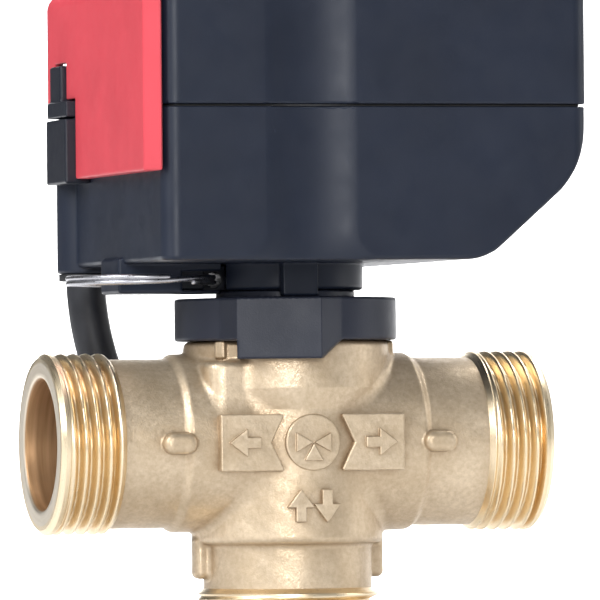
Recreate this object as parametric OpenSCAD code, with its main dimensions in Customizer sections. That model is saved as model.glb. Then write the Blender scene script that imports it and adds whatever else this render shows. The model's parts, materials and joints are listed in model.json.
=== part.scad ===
// Motorised three way valve, DN20, with three G 1 male ports.
// Origin: the centre of the face of port AB, right below the stem.
// +X runs from port A to port B, -Y is the front, +Z is up the stem, port AB points down.

/* [Ports] */
// Length over the faces of ports A and B
face_to_face = 94; // [93:0.5:96]
// Height of the axis of ports A and B above the face of port AB
ab_drop = 41.5; // [41:0.5:44]
// Outside diameter of the G 1 thread
thread_d = 33.249; // [33.0:0.001:33.249]
// Thread pitch
thread_pitch = 2.309; // [2.309]
// Bore of each port
port_bore = 24; // [23:0.5:24.5]

/* [Valve] */
// Radius of the ball
ball_r = 13; // [12.8:0.1:13.1]
// Diameter of the ball's side ports
ball_port = 15; // [12:0.5:15.5]
// Diameter of the stem
stem_d = 8; // [7:0.5:9]

/* [Actuator] */
// Left end of the case
case_left = -32.7; // [-33.5:0.1:-32.5]
// Right end of the case
case_right = 47.8; // [47:0.1:50]
// Depth of the case, front to back
case_depth = 71.2; // [70:0.2:76]
// Height of the case's underside
case_base = 33; // [33]
// Height of the parting line
case_split = 61; // [60.5:0.5:62]
// Height of the top of the cover
case_top = 85; // [84:0.5:92]
// Wall thickness of the case
wall = 2.2; // [1.8:0.1:2.4]

/* [Gears] */
// Gear module
gear_module = 0.8; // [0.8]
// Teeth on the output gear
output_teeth = 48; // [48]
// Teeth on the big wheel of each compound gear
wheel_teeth = 36; // [36]
// Teeth on each pinion
pinion_teeth = 12; // [12]
// Play between mating flanks
backlash = 0.12; // [0.08:0.01:0.16]

/* [Hidden] */
$fn = 64;
slack = 0.05;
eps = 0.01;

// Valve body
half_span = face_to_face / 2;
thread_r = thread_d / 2;
root_r = thread_r - 1.479;
side_turns = 4;
low_turns = 5;
flank = 0.77;
land_back = 1.65;
face_chamfer = 0.87;
face_room = 2.27;
tube_r = 15.55;
body_r = 16.4;
body_half = 22.8;
body_front = -15.5;
flag_x = [5.4, 17.5];
flag_notch = 7.9;
flag_half = 5.2;
mark_front = -17.9;
boss_r = 5.2;
nub_x = 24.8;
nub_r = 1.95;
nub_front = -17.4;
low_lug_x = 18.1;
neck_lug_low = 15.3;
barrel_r = 17.65;
barrel_low = -18.5;
neck_r = 18.95;
neck_top = 18.7;
spigot_r = 16;
spigot_top = 25;
cavity_r = ball_r + 0.5;
cavity_low = -(ball_r + 0.6);
bonnet_low = 13.5;
bonnet_high = 22.4;
circlip_z = 22.5;
snap_z = 19.8;

// Collar
collar_r = 20.5;
collar_top = 26.6;
box_turn = -19;
box_face = 22;
box_half = 7.75;
cheek_x = 11.2;
box_low = 15.3;
disc_r = 12.8;
disc_top = 28;
head_neck_r = 10;
head_r = 12;
head_low = 31;
head_top = 32.6;

// Case
half_depth = case_depth / 2;
case_corner = 3;
slope_x = 28.2;
slope_z = 50.2;
gap = 0.5;
case_spigot_r = 14.4;
case_spigot_in = 12.6;
column_pos = [-30, 30.7];
column_r = 5.25;
column_low = 31.9;
cable_r = 3.65;
cable_bend = 55;
cable_sweep = 48;
cable_top = 55;
channel_pos = [-12.7, 2.8];
channel_depth = 1.2;
cover_screw_pos = [[-26, -29.5], [40, -29.5], [40, 29.5], [-19, 29.5]];
post_pos = [[-8, -29.5], [33, -27], [35, 24], [-6, 29]];

// Gear train
output_r = gear_module * output_teeth / 2;
wheel_r = gear_module * wheel_teeth / 2;
pinion_r = gear_module * pinion_teeth / 2;
dir_2 = 45;
dir_1 = -75;
dir_m = 205;
far = output_r + pinion_r;
near = wheel_r + pinion_r;
pos_2 = [far * cos(dir_2), far * sin(dir_2)];
pos_1 = [pos_2[0] + near * cos(dir_1), pos_2[1] + near * sin(dir_1)];
pos_m = [pos_1[0] + near * cos(dir_m), pos_1[1] + near * sin(dir_m)];
phase_2 = mesh_phase(0, output_teeth, pinion_teeth, dir_2);
phase_1 = mesh_phase(0, wheel_teeth, pinion_teeth, dir_1);
phase_m = mesh_phase(0, wheel_teeth, pinion_teeth, dir_m);
axle_r = 1;
plate_z = 52;
plate_t = 1.2;
motor_r = 19;
motor_low = plate_z + plate_t;
motor_high = motor_low + 16;
board_z = 46.5;
board_t = 1.6;
board_peg_pos = [[-27, -23], [-27, 20]];

// Catch and latch
red_face = -35.8;
red_low = 49.2;
keeper_y = [15.8, 29.8];
keeper_face = -37.6;
hook_y = [23.2, 26.8];
tab_y = [22.2, 29.9];
pin_pos = [-35.4, 62.4];
ring_mean_r = 13.25;
wire_r = 0.93;
ring_x = -27.6;
ring_z = 30;
eye_pos = [-14.5, 30];
eye_r = 1.45;
slider_half = 4.5;
slider_tip = -10.3;
nose_half = 3;
guide_half = 6.4;
guide_end = -21.3;
guide_low = 27.5;
slot_z = [28.1, 32.9];
slider_z = [28.2, 32.7];
nose_z = [27.5, 32.8];
key_low = 26.8;
lug_y = [18, 20.5];
tongue_y = [[-24, -14], [-6, 4]];
tongue_z = [66, 67.6];

// ---------- Helpers ----------

// Turn-about for the phase that puts the follower's gap on the driver's tooth
function mesh_phase(phase, teeth, mate, dir) =
    dir + 180 - (0.5 - (dir - phase) * teeth / 360) * 360 / mate;

// Heights in the modules count from the port axis; this raises them onto the face of port AB
module raised() {
    translate([0, 0, ab_drop])
        children();
}

// One point of an involute of base radius rb, unrolled by t degrees and turned by a
function involute(rb, t, a) =
    let (u = t * PI / 180)
    [rb * (cos(t + a) + u * sin(t + a)), rb * (sin(t + a) - u * cos(t + a))];

// Outline of a spur gear: tooth 0 is centred on +X
function gear_outline(teeth, add, ded) =
    let (
        r = gear_module * teeth / 2,
        rb = r * cos(20),
        rf = r - ded,
        roll = sqrt(pow((r + add) / rb, 2) - 1) * 180 / PI,
        half = 90 / teeth - backlash / r * 45 / PI + (tan(20) * 180 / PI - 20),
        steps = 4,
        side = [for (i = [0 : steps]) involute(rb, roll * i / steps, -half)],
        tooth = concat(
            [[rf * cos(-half), rf * sin(-half)]],
            side,
            [for (i = [steps : -1 : 0]) [side[i][0], -side[i][1]]],
            [[rf * cos(half), rf * sin(half)]]))
    [for (k = [0 : teeth - 1]) for (p = tooth)
        [p[0] * cos(k * 360 / teeth) - p[1] * sin(k * 360 / teeth),
         p[0] * sin(k * 360 / teeth) + p[1] * cos(k * 360 / teeth)]];

module spur(teeth, phase, low, high, add, ded) {
    translate([0, 0, low])
        rotate([0, 0, phase])
            linear_extrude(high - low)
                polygon(gear_outline(teeth, add, ded));
}

module wheel(teeth, phase, low, high) {
    spur(teeth, phase, low, high, 0.6, 1.0);
}

module pinion(phase, low, high) {
    spur(pinion_teeth, phase, low, high, 0.8, 0.9);
}

// Box given by its lowest and highest corners
module block(low, high) {
    translate(low)
        cube([high[0] - low[0], high[1] - low[1], high[2] - low[2]]);
}

// Upright rod at a place in plan
module rod(at, r, low, high) {
    translate([at[0], at[1], low])
        cylinder(r = r, h = high - low);
}

// Upright ring
module ring(outer, inner, low, high) {
    translate([0, 0, low])
        difference() {
            cylinder(r = outer, h = high - low);
            translate([0, 0, -1])
                cylinder(r = inner, h = high - low + 2);
        }
}

// Upright slab with round corners, given as [x0, x1], [y0, y1], [z0, z1]
module slab(xs, ys, zs, r) {
    block([xs[0] + r, ys[0], zs[0]], [xs[1] - r, ys[1], zs[1]]);
    block([xs[0], ys[0] + r, zs[0]], [xs[1], ys[1] - r, zs[1]]);
    for (x = [xs[0] + r, xs[1] - r], y = [ys[0] + r, ys[1] - r])
        rod([x, y], r, zs[0], zs[1]);
}

// Turns a shape built up +Z so that it points along +X (side = 1) or -X (side = -1)
module along_x(side) {
    rotate([0, side * 90, 0])
        children();
}

// ---------- Valve ----------

// Thread as rings: outline points of one crest that starts at height h
function crest(h) = let (flat = (thread_pitch - 2 * flank) / 2)
    [[root_r, h + flat / 2], [thread_r, h + flat / 2 + flank],
     [thread_r, h + 1.5 * flat + flank], [root_r, h + 1.5 * flat + 2 * flank]];

// Threaded port from height 0 to its face: a step at step_h, crests, then a land with a chamfer
module port_solid(length, from_r, step_h, turns) {
    start = length - turns * thread_pitch - face_room;
    rotate_extrude($fn = 96)
        polygon(concat(
            [[0, 0], [from_r, 0], [from_r, step_h - 0.5], [from_r - 0.5, step_h], [tube_r, step_h],
             [tube_r, start - 0.6], [root_r, start]],
            [for (k = [0 : turns - 1]) for (p = crest(start + k * thread_pitch)) p],
            [[root_r, length - land_back - flank], [thread_r, length - land_back],
             [thread_r, length - face_chamfer], [thread_r - face_chamfer, length], [0, length]]));
}

// Turns a shape drawn in the plane of the front so that it stands out from the body to y = front
module raised_front(front) {
    translate([0, body_front, 0])
        rotate([90, 0, 0])
            linear_extrude(body_front - front)
                children();
}

// Flag shaped plate for the flow mark, pointing to +X when side = 1
module flow_flag(side) {
    raised_front(mark_front)
        polygon([[side * flag_x[0], -flag_half], [side * flag_x[1], -flag_half],
                 [side * flag_x[1], flag_half], [side * flag_x[0], flag_half], [side * flag_notch, 0]]);
}

// Oblong lug on the shoulder
module nub(side) {
    raised_front(nub_front)
        translate([side * nub_x, 0]) {
            square([2.5, 2 * nub_r], center = true);
            for (end = [-1.25, 1.25])
                translate([end, 0])
                    circle(r = nub_r, $fn = 32);
        }
}

// Small upright rib under the collar, turned round the neck
module neck_lug(turn) {
    rotate([0, 0, turn])
        block([-1.2, -19.9, neck_lug_low], [1.2, -17, neck_top]);
}

module valve_body() {
    raised() color("#cdb48a")
    difference() {
        union() {
            for (side = [-1, 1])
                along_x(side)
                    port_solid(half_span, body_r, body_half, side_turns);
            rotate([180, 0, 0])
                port_solid(ab_drop, barrel_r, -barrel_low, low_turns);
            rod([0, 0], barrel_r, -1, 6);
            translate([0, 0, 6])
                cylinder(r1 = barrel_r, r2 = neck_r, h = 4);
            rod([0, 0], neck_r, 10, neck_top);
            rod([0, 0], spigot_r, neck_top, spigot_top);
            block([-low_lug_x, -3, -25], [low_lug_x, 3, -19]);
            for (turn = [-54, 80])
                neck_lug(turn);
            for (side = [-1, 1]) {
                flow_flag(side);
                nub(side);
            }
            raised_front(mark_front)
                circle(r = boss_r);
        }
        for (side = [-1, 1])
            along_x(side)
                translate([0, 0, 1])
                    cylinder(r = port_bore / 2, h = half_span, $fn = 96);
        translate([0, 0, -ab_drop - 1])
            cylinder(r = port_bore / 2, h = ab_drop - 16, $fn = 96);
        rod([0, 0], 9, -20, 0);
        rod([0, 0], cavity_r, cavity_low, spigot_top + 1);
        ring(spigot_r + 1, spigot_r - 1, snap_z, snap_z + 1.3);
        rod([0, 0], cavity_r + 0.8, circlip_z, circlip_z + 1.2);
    }
}

module valve_ball() {
    raised() color("#d9d2c0")
    difference() {
        sphere(r = ball_r);
        rotate([0, -90, 0])
            cylinder(r = ball_port / 2, h = ball_r + 1);
        rotate([90, 0, 0])
            cylinder(r = ball_port / 2, h = ball_r + 1);
        rotate([180, 0, 0])
            cylinder(r = ball_port / 2, h = ball_r + 1);
        sphere(r = ball_port / 2);
        block([-20, -20, 12.4], [20, 20, 14]);
        block([-20, -2.1, 9.5], [20, 2.1, 14]);
    }
}

// Seat ring on one side of the ball
module seat(side) {
    raised() color("#f2f0ea")
    difference() {
        along_x(side)
            ring(port_bore / 2 - slack, 8, 8.6, 13);
        sphere(r = ball_r + slack);
    }
}

module seat_a() { seat(-1); }
module seat_b() { seat(1); }

// Brass ring that holds a seat against the ball
module retainer(side) {
    raised() color("#c9a45c")
    difference() {
        along_x(side)
            ring(port_bore / 2 - slack / 2, 8.6, 13.05, 17);
        along_x(side)
            translate([-1, -9.8, 15.6])
                cube([2, 19.6, 2]);
    }
}

module retainer_a() { retainer(-1); }
module retainer_b() { retainer(1); }

module valve_stem() {
    raised() color("#c9a45c")
    difference() {
        union() {
            block([-5.6, -2, 9.7], [5.6, 2, 12.6]);
            rod([0, 0], 6, 12.5, 13.4);
            rod([0, 0], stem_d / 2, 13, 26);
            block([-3, -3, 25], [3, 3, 32]);
        }
        for (z = [15.6, 19.2])
            ring(stem_d / 2 + 1, stem_d / 2 - 0.9, z, z + 1.8);
    }
}

module stem_seals() {
    raised() color("#1c1c1e")
    for (z = [16.5, 20.1])
        translate([0, 0, z])
            rotate_extrude()
                translate([stem_d / 2 - 0.42, 0])
                    circle(r = 0.44, $fn = 24);
}

module bonnet() {
    raised() color("#c9a45c")
    difference() {
        ring(cavity_r - slack, stem_d / 2 + slack, bonnet_low, bonnet_high);
        ring(cavity_r + 1, cavity_r - 1.6, 17, 19.2);
    }
}

module bonnet_seal() {
    raised() color("#1c1c1e")
    translate([0, 0, 18.1])
        rotate_extrude()
            translate([cavity_r - 0.85, 0])
                circle(r = 0.74, $fn = 24);
}

// Retaining ring with a gap at the back
module split_ring(outer, inner, low, high, opening) {
    difference() {
        ring(outer, inner, low, high);
        block([-opening / 2, 0, low - 1], [opening / 2, outer + 1, high + 1]);
    }
}

module bonnet_circlip() {
    raised() color("#8d9096")
    split_ring(cavity_r + 0.7, cavity_r - 1.8, circlip_z + 0.1, circlip_z + 1.1, 6);
}

module collar_snap_ring() {
    raised() color("#8d9096")
    split_ring(spigot_r + 0.9, spigot_r - 0.9, snap_z + 0.1, snap_z + 1.2, 5);
}

module mounting_collar() {
    raised() color("#3a3f4d")
    difference() {
        union() {
            rod([0, 0], collar_r, neck_top + 0.05, collar_top);
            rotate([0, 0, box_turn])
                intersection() {
                    translate([0, 0, box_low])
                        linear_extrude(collar_top - box_low)
                            polygon([[-cheek_x, -17], [-box_half, -box_face], [box_half, -box_face],
                                     [cheek_x, -17]]);
                    rotate([90, 0, 0])
                        linear_extrude(40)
                            polygon([[-box_half, box_low], [box_half, box_low], [cheek_x, neck_top],
                                     [cheek_x, collar_top], [-cheek_x, collar_top], [-cheek_x, neck_top],
                                     [-box_half, neck_top]]);
                    difference() {
                        rod([0, 0], 40, 0, 40);
                        rod([0, 0], neck_r + 0.15, -1, neck_top + 0.05);
                    }
                }
            rod([0, 0], disc_r, collar_top - 1, disc_top - 0.05);
            rod([0, 0], head_neck_r, disc_top - 1, head_top);
            rod([0, 0], head_r, head_low, head_top);
        }
        rod([0, 0], spigot_r + slack, 0, spigot_top + 0.15);
        rod([0, 0], 6.8, 20, head_top + 1);
        ring(spigot_r + 1, spigot_r - 1, snap_z, snap_z + 1.3);
    }
}

// ---------- Actuator case ----------

// Everything on the kept side of the sloping lower right corner, inset by t
module slope_cut(t) {
    angle = atan2(slope_z - case_base, case_right - slope_x);
    translate([slope_x, 0, case_base])
        rotate([0, -angle, 0])
            translate([-40, -60, -60 + t])
                cube([120, 120, 60]);
}

module base_shell() {
    difference() {
        slab([case_left, case_right], [-half_depth, half_depth], [case_base, case_split - gap / 2],
             case_corner);
        difference() {
            slab([case_left + wall, case_right - wall], [-half_depth + wall, half_depth - wall],
                 [case_base + wall, case_split + 1], case_corner - 1);
            slope_cut(wall);
        }
    }
}

// Shallow hollow down the front of the case
module front_channel(low, high) {
    mid = (channel_pos[0] + channel_pos[1]) / 2;
    half = (channel_pos[1] - channel_pos[0]) / 2;
    r = (half * half + channel_depth * channel_depth) / (2 * channel_depth);
    rod([mid, -half_depth - r + channel_depth], r, low, high);
}

module base_housing() {
    raised() color("#2f333f")
    difference() {
        union() {
            base_shell();
            rod(column_pos, column_r, column_low, case_split - gap / 2 - 0.4);
            rod([0, 0], case_spigot_r, disc_top, case_base + 0.5);
            for (p = cover_screw_pos)
                rod(p, 3.4, case_base + 1, case_split - 1.5);
            for (p = post_pos)
                rod(p, 2.6, case_base + 1, plate_z);
            for (p = board_peg_pos) {
                rod(p, 2.2, case_base + 1, board_z - eps);
                rod(p, 1.3, case_base + 1, board_z + board_t + 0.8);
            }
            rod(pos_2, 3, case_base + 1, 36.5);
            rod(pos_1, 3, case_base + 1, 36.5);
            block([-33.5, -guide_half, guide_low], [guide_end, guide_half, case_base + 1]);
            block([-4.9, -16, key_low], [1.8, -13.4, case_base + 1]);
        }
        slope_cut(0);
        rod([0, 0], case_spigot_in, disc_top - 1, case_base);
        block([-16, -5.6, disc_top - 1], [-12, 5.6, case_base]);
        block([-32.2, -slider_half - 0.2, slot_z[0]], [-12, slider_half + 0.2, slot_z[1]]);
        rod([0, 0], 6 + slack, case_base - 1, case_base + wall + 1);
        rod(column_pos, cable_r + 0.85, column_low - 1, 44);
        rod(column_pos, cable_r + 0.1, 40, case_split);
        translate([column_pos[0], column_pos[1], 0])
            block([-2, -6, 50], [6, 1, case_split]);
        for (p = cover_screw_pos)
            rod(p, 1.25, 45, case_split);
        for (p = post_pos)
            rod(p, 1.0, 45, plate_z + 1);
        for (p = [pos_1, pos_2])
            rod(p, axle_r + eps, 34.4, 37);
        front_channel(case_base - 1, case_split);
    }
    raised() color("#2f333f")
    intersection() {
        ring(case_spigot_in + 0.2, head_neck_r + 0.3, disc_top, 30.8);
        linear_extrude(60)
            polygon([[0, 0], [30, -20], [30, 20]]);
    }
}

module cable_bush() {
    raised() color("#1b1c22")
    translate([column_pos[0], column_pos[1], 0]) {
        ring(cable_r + 0.8, cable_r + slack, column_low - 0.8, 40 - 0.2);
        ring(column_r - 0.3, cable_r + slack, column_low - 1.4, column_low - 0.1);
    }
}

// Arc of round cable that bends from straight down towards +X
module cable_arc(r, sweep, bend) {
    translate([bend, 0, 0])
        rotate([90, 0, 0])
            rotate([0, 0, 180])
                rotate_extrude(angle = sweep, $fn = 96)
                    translate([bend, 0])
                        circle(r = r, $fn = 32);
}

module cable() {
    tail = 10;
    core_r = 1.0;
    core_out = 6;
    lap = 0.8;
    inner_r = cable_r - 0.02;
    raised() translate([column_pos[0], column_pos[1], column_low])
        color("#17181c") {
            translate([0, 0, -lap])
                cylinder(r = inner_r, h = cable_top - column_low + lap, $fn = 32);
            cable_arc(cable_r, cable_sweep, cable_bend);
            translate([cable_bend * (1 - cos(cable_sweep)), 0, -cable_bend * sin(cable_sweep)])
                rotate([0, 180 - cable_sweep, 0]) {
                    translate([0, 0, -lap])
                        cylinder(r = inner_r, h = tail + lap, $fn = 32);
                    for (a = [0, 120, 240])
                        rotate([0, 0, a])
                            translate([1.7, 0, tail - 1])
                                cylinder(r = core_r, h = core_out + 1, $fn = 24);
                }
        }
}

module upper_cover() {
    raised() color("#2f333f")
    difference() {
        union() {
            difference() {
                slab([case_left, case_right], [-half_depth, half_depth], [case_split + gap / 2, case_top],
                     case_corner);
                slab([case_left + wall, case_right - wall], [-half_depth + wall, half_depth - wall],
                     [case_split - 1, case_top - wall], case_corner - 1);
            }
            for (p = cover_screw_pos)
                rod(p, 4.2, case_split + gap / 2, case_top - 1);
            pin_rod(1.1, lug_y);
            block([pin_pos[0], lug_y[0], 61.7], [case_left + 0.5, lug_y[1], 63.1]);
        }
        pin_rod(0.65, [lug_y[0] - 1, lug_y[1] + 1]);
        for (y = tongue_y)
            block([case_left - 1, y[0] - 0.2, tongue_z[0] - 0.2],
                  [case_left + 3, y[1] + 0.2, tongue_z[1] + 0.2]);
        for (p = cover_screw_pos) {
            rod(p, 1.7, case_split - 1, case_top + 1);
            rod(p, 3.3, case_top - 6, case_top + 1);
        }
        front_channel(case_split - 1, case_top + 1);
    }
}

module housing_gasket() {
    lip = 0.9;
    raised() color("#15161a")
    difference() {
        slab([case_left + lip, case_right - lip], [-half_depth + lip + 0.6, half_depth - lip],
             [case_split - gap / 2 + eps, case_split + gap / 2 - eps], case_corner - 0.6);
        slab([case_left + wall, case_right - wall], [-half_depth + wall, half_depth - wall],
             [case_split - 1, case_split + 1], case_corner - 1);
    }
}

// Pan head screw with a cross recess; the head's underside is at height z
module screw(at, shank_r, length, head_r, head_h, z) {
    difference() {
        union() {
            rod(at, shank_r, z - length, z + eps);
            rod(at, head_r, z, z + head_h);
        }
        for (turn = [0, 90])
            translate([at[0], at[1], z + head_h])
                rotate([0, 0, turn])
                    cube([head_r * 1.1, head_r * 0.24, head_h], center = true);
    }
}

module cover_screws() {
    raised() color("#b4b7bd")
    for (p = cover_screw_pos)
        screw(p, 1.2, 24, 2.9, 2.2, case_top - 6);
}

module end_cover() {
    face = red_face;
    back = case_left - 0.2;
    front = -half_depth - 0.3;
    rear = half_depth + 0.1;
    skin = 1.5;
    chamfer = 3.2;
    top = case_top + 0.4;
    raised() color("#d93a46")
    difference() {
        linear_extrude_z(red_low, top)
            polygon([[face, rear - 1], [face + 1, rear], [back, rear], [back, front],
                     [back - 0.1, front], [face, front + chamfer]]);
        linear_extrude_z(red_low + skin, top - skin)
            polygon([[face + skin, rear - skin], [back + 1, rear - skin], [back + 1, front + skin],
                     [back - 0.6, front + skin], [face + skin, front + chamfer + 0.6]]);
        block([face - 1, keeper_y[0] - 0.3, red_low - 1], [back + 1, rear + 1, case_split + 0.1]);
        block([face - 1, keeper_y[0] - 0.3, case_split - 1], [back + 1, keeper_y[1] + 0.3, 64.1]);
        block([face - 1, tab_y[0] - 0.4, case_split - 1], [back + 1, tab_y[1] + 0.4, 71]);
        translate([face, 0, top])
            rotate([0, 45, 0])
                cube([4, 100, 4], center = true);
    }
    raised() color("#d93a46")
    for (y = tongue_y)
        block([face + 1, y[0], tongue_z[0]], [case_left + 3, y[1], tongue_z[1]]);
}

module linear_extrude_z(low, high) {
    translate([0, 0, low])
        linear_extrude(high - low)
            children();
}

module catch_keeper() {
    raised() color("#2b2e38")
    difference() {
        slab([keeper_face, case_left - eps], keeper_y, [48.4, 60.4], 0.8);
        block([keeper_face + 1.2, 22.6, 56.5], [case_left - 0.9, 29, 61]);
        block([keeper_face + 0.5, 22.6, 56.5], [case_left - 0.9, 29, 58.6]);
        rod(column_pos, column_r + slack, column_low, case_split);
    }
}

module catch_lever() {
    hook_x = keeper_face + 1.7;
    raised() color("#2b2e38")
    difference() {
        union() {
            block([keeper_face + 0.2, keeper_y[0] + 0.1, 61.1], [-33.4, keeper_y[1] - 0.1, 63.7]);
            block([-36.8, tab_y[0], 63], [-34.2, tab_y[1], 70.5]);
            block([hook_x, hook_y[0], 57.2], [hook_x + 1.2, hook_y[1], 62]);
            block([hook_x - 0.9, hook_y[0], 57.2], [hook_x + 1.2, hook_y[1], 58.2]);
        }
        pin_rod(0.65, [keeper_y[0] + 0.8, keeper_y[1] - 0.8]);
        pin_rod(1.25, [lug_y[0] - 0.2, lug_y[1] + 0.2]);
        block([pin_pos[0], lug_y[0] - 0.2, 61], [-33, lug_y[1] + 0.2, 64]);
    }
}

// Rod on the axis of the catch's pin
module pin_rod(r, ys) {
    translate([pin_pos[0], ys[0], pin_pos[1]])
        rotate([-90, 0, 0])
            cylinder(r = r, h = ys[1] - ys[0], $fn = 32);
}

module catch_pin() {
    raised() color("#b4b7bd")
    pin_rod(0.6, [keeper_y[0] + 0.9, keeper_y[1] - 0.9]);
}

// ---------- Release latch ----------

module latch_slider() {
    raised() color("#2b2e38")
    difference() {
        union() {
            block([-25.8, -slider_half, slider_z[0]], [-16.6, slider_half, slider_z[1]]);
            block([-17, -nose_half, nose_z[0]], [-13, nose_half, nose_z[1]]);
            block([-13.1, -nose_half, slider_z[0]], [-12.3, nose_half, slider_z[1] - 0.1]);
            block([-12.6, -nose_half, 28.9], [-9, nose_half, 30.6]);
        }
        translate([eye_pos[0], -slider_half, eye_pos[1]])
            rotate([-90, 0, 0])
                cylinder(r = eye_r, h = 2 * slider_half, $fn = 48);
        rod([0, 0], -slider_tip, 20, 40);
    }
}

module latch_spring() {
    coils = 5;
    pitch = 1.12;
    wire = 0.3;
    steps = 10;
    raised() color("#b4b7bd")
    along_x(-1)
        translate([30.1, 0, 26.1])
            union() {
                for (k = [0 : coils - 1])
                    translate([0, 0, 0.4 + k * pitch])
                        rotate_extrude($fn = 32)
                            translate([1.0, 0])
                                circle(r = wire, $fn = 16);
                for (a = [0, 180])
                    rotate([0, 0, a])
                        translate([1.0, 0, 0.4])
                            cylinder(r = 0.16, h = (coils - 1) * pitch, $fn = 16);
            }
}

module pull_ring() {
    raised() color("#c8c8cc")
    translate([ring_x, 0, ring_z])
        rotate([0, 0, -151])
            rotate_extrude(angle = 358, $fn = 128)
                translate([ring_mean_r, 0])
                    circle(r = wire_r, $fn = 32);
}

// ---------- Drive ----------

module output_spindle() {
    raised() color("#c9a45c")
    difference() {
        union() {
            rod([0, 0], 6, 28.3, 36);
            rod([0, 0], 8, 35.4, 36.4);
            rod([0, 0], 5, 36, 46.2);
        }
        block([-3.1, -3.1, 28], [3.1, 3.1, 32.4]);
    }
}

module output_gear() {
    raised() color("#e6e2d6")
    difference() {
        wheel(output_teeth, 0, 37, 42);
        rod([0, 0], 5 + eps, 30, 50);
        for (a = [0 : 60 : 300])
            rod([12 * cos(a), 12 * sin(a)], 3.2, 30, 50);
    }
}

module limit_cam() {
    raised() color("#d8b23c")
    difference() {
        union() {
            rod([0, 0], 6.6, 42.2, 46);
            rotate([0, 0, 115])
                linear_extrude_z(42.6, 45.6)
                    polygon(concat([[0, 0]], [for (a = [0 : 5 : 60]) [9.2 * cos(a), 9.2 * sin(a)]]));
        }
        rod([0, 0], 5 + eps, 30, 50);
    }
}

module gear_2() {
    raised() color("#e6e2d6")
    translate([pos_2[0], pos_2[1], 0])
        difference() {
            union() {
                pinion(phase_2, 36.8, 43.8);
                wheel(wheel_teeth, 0, 43.2, 46);
                rod([0, 0], 3, 46, 51.6);
            }
            rod([0, 0], axle_r + slack, 30, 60);
        }
}

module gear_1() {
    raised() color("#e6e2d6")
    translate([pos_1[0], pos_1[1], 0])
        difference() {
            union() {
                rod([0, 0], 2, 36.8, 42.8);
                pinion(phase_1, 42.8, 47.6);
                wheel(wheel_teeth, 0, 47, 50);
                rod([0, 0], 3, 50, 51.6);
            }
            rod([0, 0], axle_r + slack, 30, 60);
        }
}

module gear_axles() {
    raised() color("#b4b7bd")
    for (p = [pos_1, pos_2])
        rod(p, axle_r, 34.5, plate_z + plate_t - 0.1);
}

module gear_plate() {
    raised() color("#aeb2b8")
    difference() {
        slab([-12, 41.5], [-32.4, 32], [plate_z, plate_z + plate_t], 3);
        block([-13, 12, plate_z - 1], [-9, 25, plate_z + 2]);
        for (p = [pos_1, pos_2])
            rod(p, axle_r + eps, plate_z - 1, plate_z + 3);
        for (p = post_pos)
            rod(p, 1.35, plate_z - 1, plate_z + 3);
        rod(pos_m, 6.4, plate_z - 1, plate_z + 3);
        for (side = [-1, 1])
            rod([pos_m[0] + side * 22, pos_m[1]], 1.2, plate_z - 1, plate_z + 3);
        for (p = cover_screw_pos)
            rod(p, 4.6, plate_z - 1, plate_z + 3);
    }
}

module plate_screws() {
    raised() color("#b4b7bd")
    for (p = post_pos)
        screw(p, 0.95, 6.5, 2.2, 1.5, plate_z + plate_t + eps);
}

module motor_case() {
    raised() color("#b9bcc2")
    translate([pos_m[0], pos_m[1], 0])
        difference() {
            union() {
                rod([0, 0], motor_r, motor_low + eps, motor_high);
                for (side = [-1, 1]) {
                    rod([side * 22, 0], 3, motor_low + eps, motor_low + 1.2);
                    block([side * 20 - 2.2, -3, motor_low + eps], [side * 20 + 2.2, 3, motor_low + 1.2]);
                }
            }
            rod([0, 0], motor_r - 0.8, motor_low + 1.2, motor_high - 0.8);
            rod([0, 0], 5.6, motor_low - 1, motor_low + 2);
            for (side = [-1, 1])
                rod([side * 22, 0], 1.2, motor_low - 1, motor_low + 3);
        }
}

module motor_coil() {
    raised() color("#a8642c")
    translate([pos_m[0], pos_m[1], 0])
        ring(motor_r - 0.9, 13.6, motor_low + 1.3, motor_high - 0.9);
}

module motor_rotor() {
    raised() color("#55585e")
    translate([pos_m[0], pos_m[1], 0]) {
        rod([0, 0], 13, motor_low + 2, motor_high - 1.6);
        rod([0, 0], 1, 46.9, motor_low + 2.1);
    }
}

module motor_pinion() {
    raised() color("#c9a45c")
    translate([pos_m[0], pos_m[1], 0])
        difference() {
            pinion(phase_m, 46.8, 51);
            rod([0, 0], 1 + eps, 40, 60);
        }
}

module motor_screws() {
    raised() color("#b4b7bd")
    for (side = [-1, 1])
        screw([pos_m[0] + side * 22, pos_m[1]], 1.1, 3.6, 2.2, 1.4, motor_low + 1.2 + eps);
}

module circuit_board() {
    raised() color("#1f6b3c")
    difference() {
        block([-29.6, -25.5, board_z], [-12.5, 24.5, board_z + board_t]);
        for (p = board_peg_pos)
            rod(p, 1.4, board_z - 1, board_z + 3);
    }
}

// Small snap switch hung below the board, its lever towards the cam
module limit_switch(low_y) {
    raised() color("#1a1a1c")
    block([-17.5, low_y, 42.4], [-10.6, low_y + 12, board_z - eps]);
    raised() color("#b4b7bd") {
        block([-10.6 - eps, low_y + 1.4, 43.2], [-9.7, low_y + 2.6, 45.6]);
        block([-9.8, low_y + 1.4, 43.2], [-9.4, low_y + 11, 45.6]);
    }
}

module limit_switch_a() { limit_switch(1); }
module limit_switch_b() { limit_switch(-13); }

module terminal_block() {
    top = board_z + board_t + 9;
    raised() color("#3f7d58")
    difference() {
        block([-29, -3, board_z + board_t + eps], [-20, 17, top]);
        for (k = [0 : 3]) {
            rod([-24.5, 0 + k * 4.8], 1.6, top - 3, top + 1);
            block([-21.5, k * 4.8 - 1.4, 50.5], [-19, k * 4.8 + 1.4, 53.5]);
        }
    }
}

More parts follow.
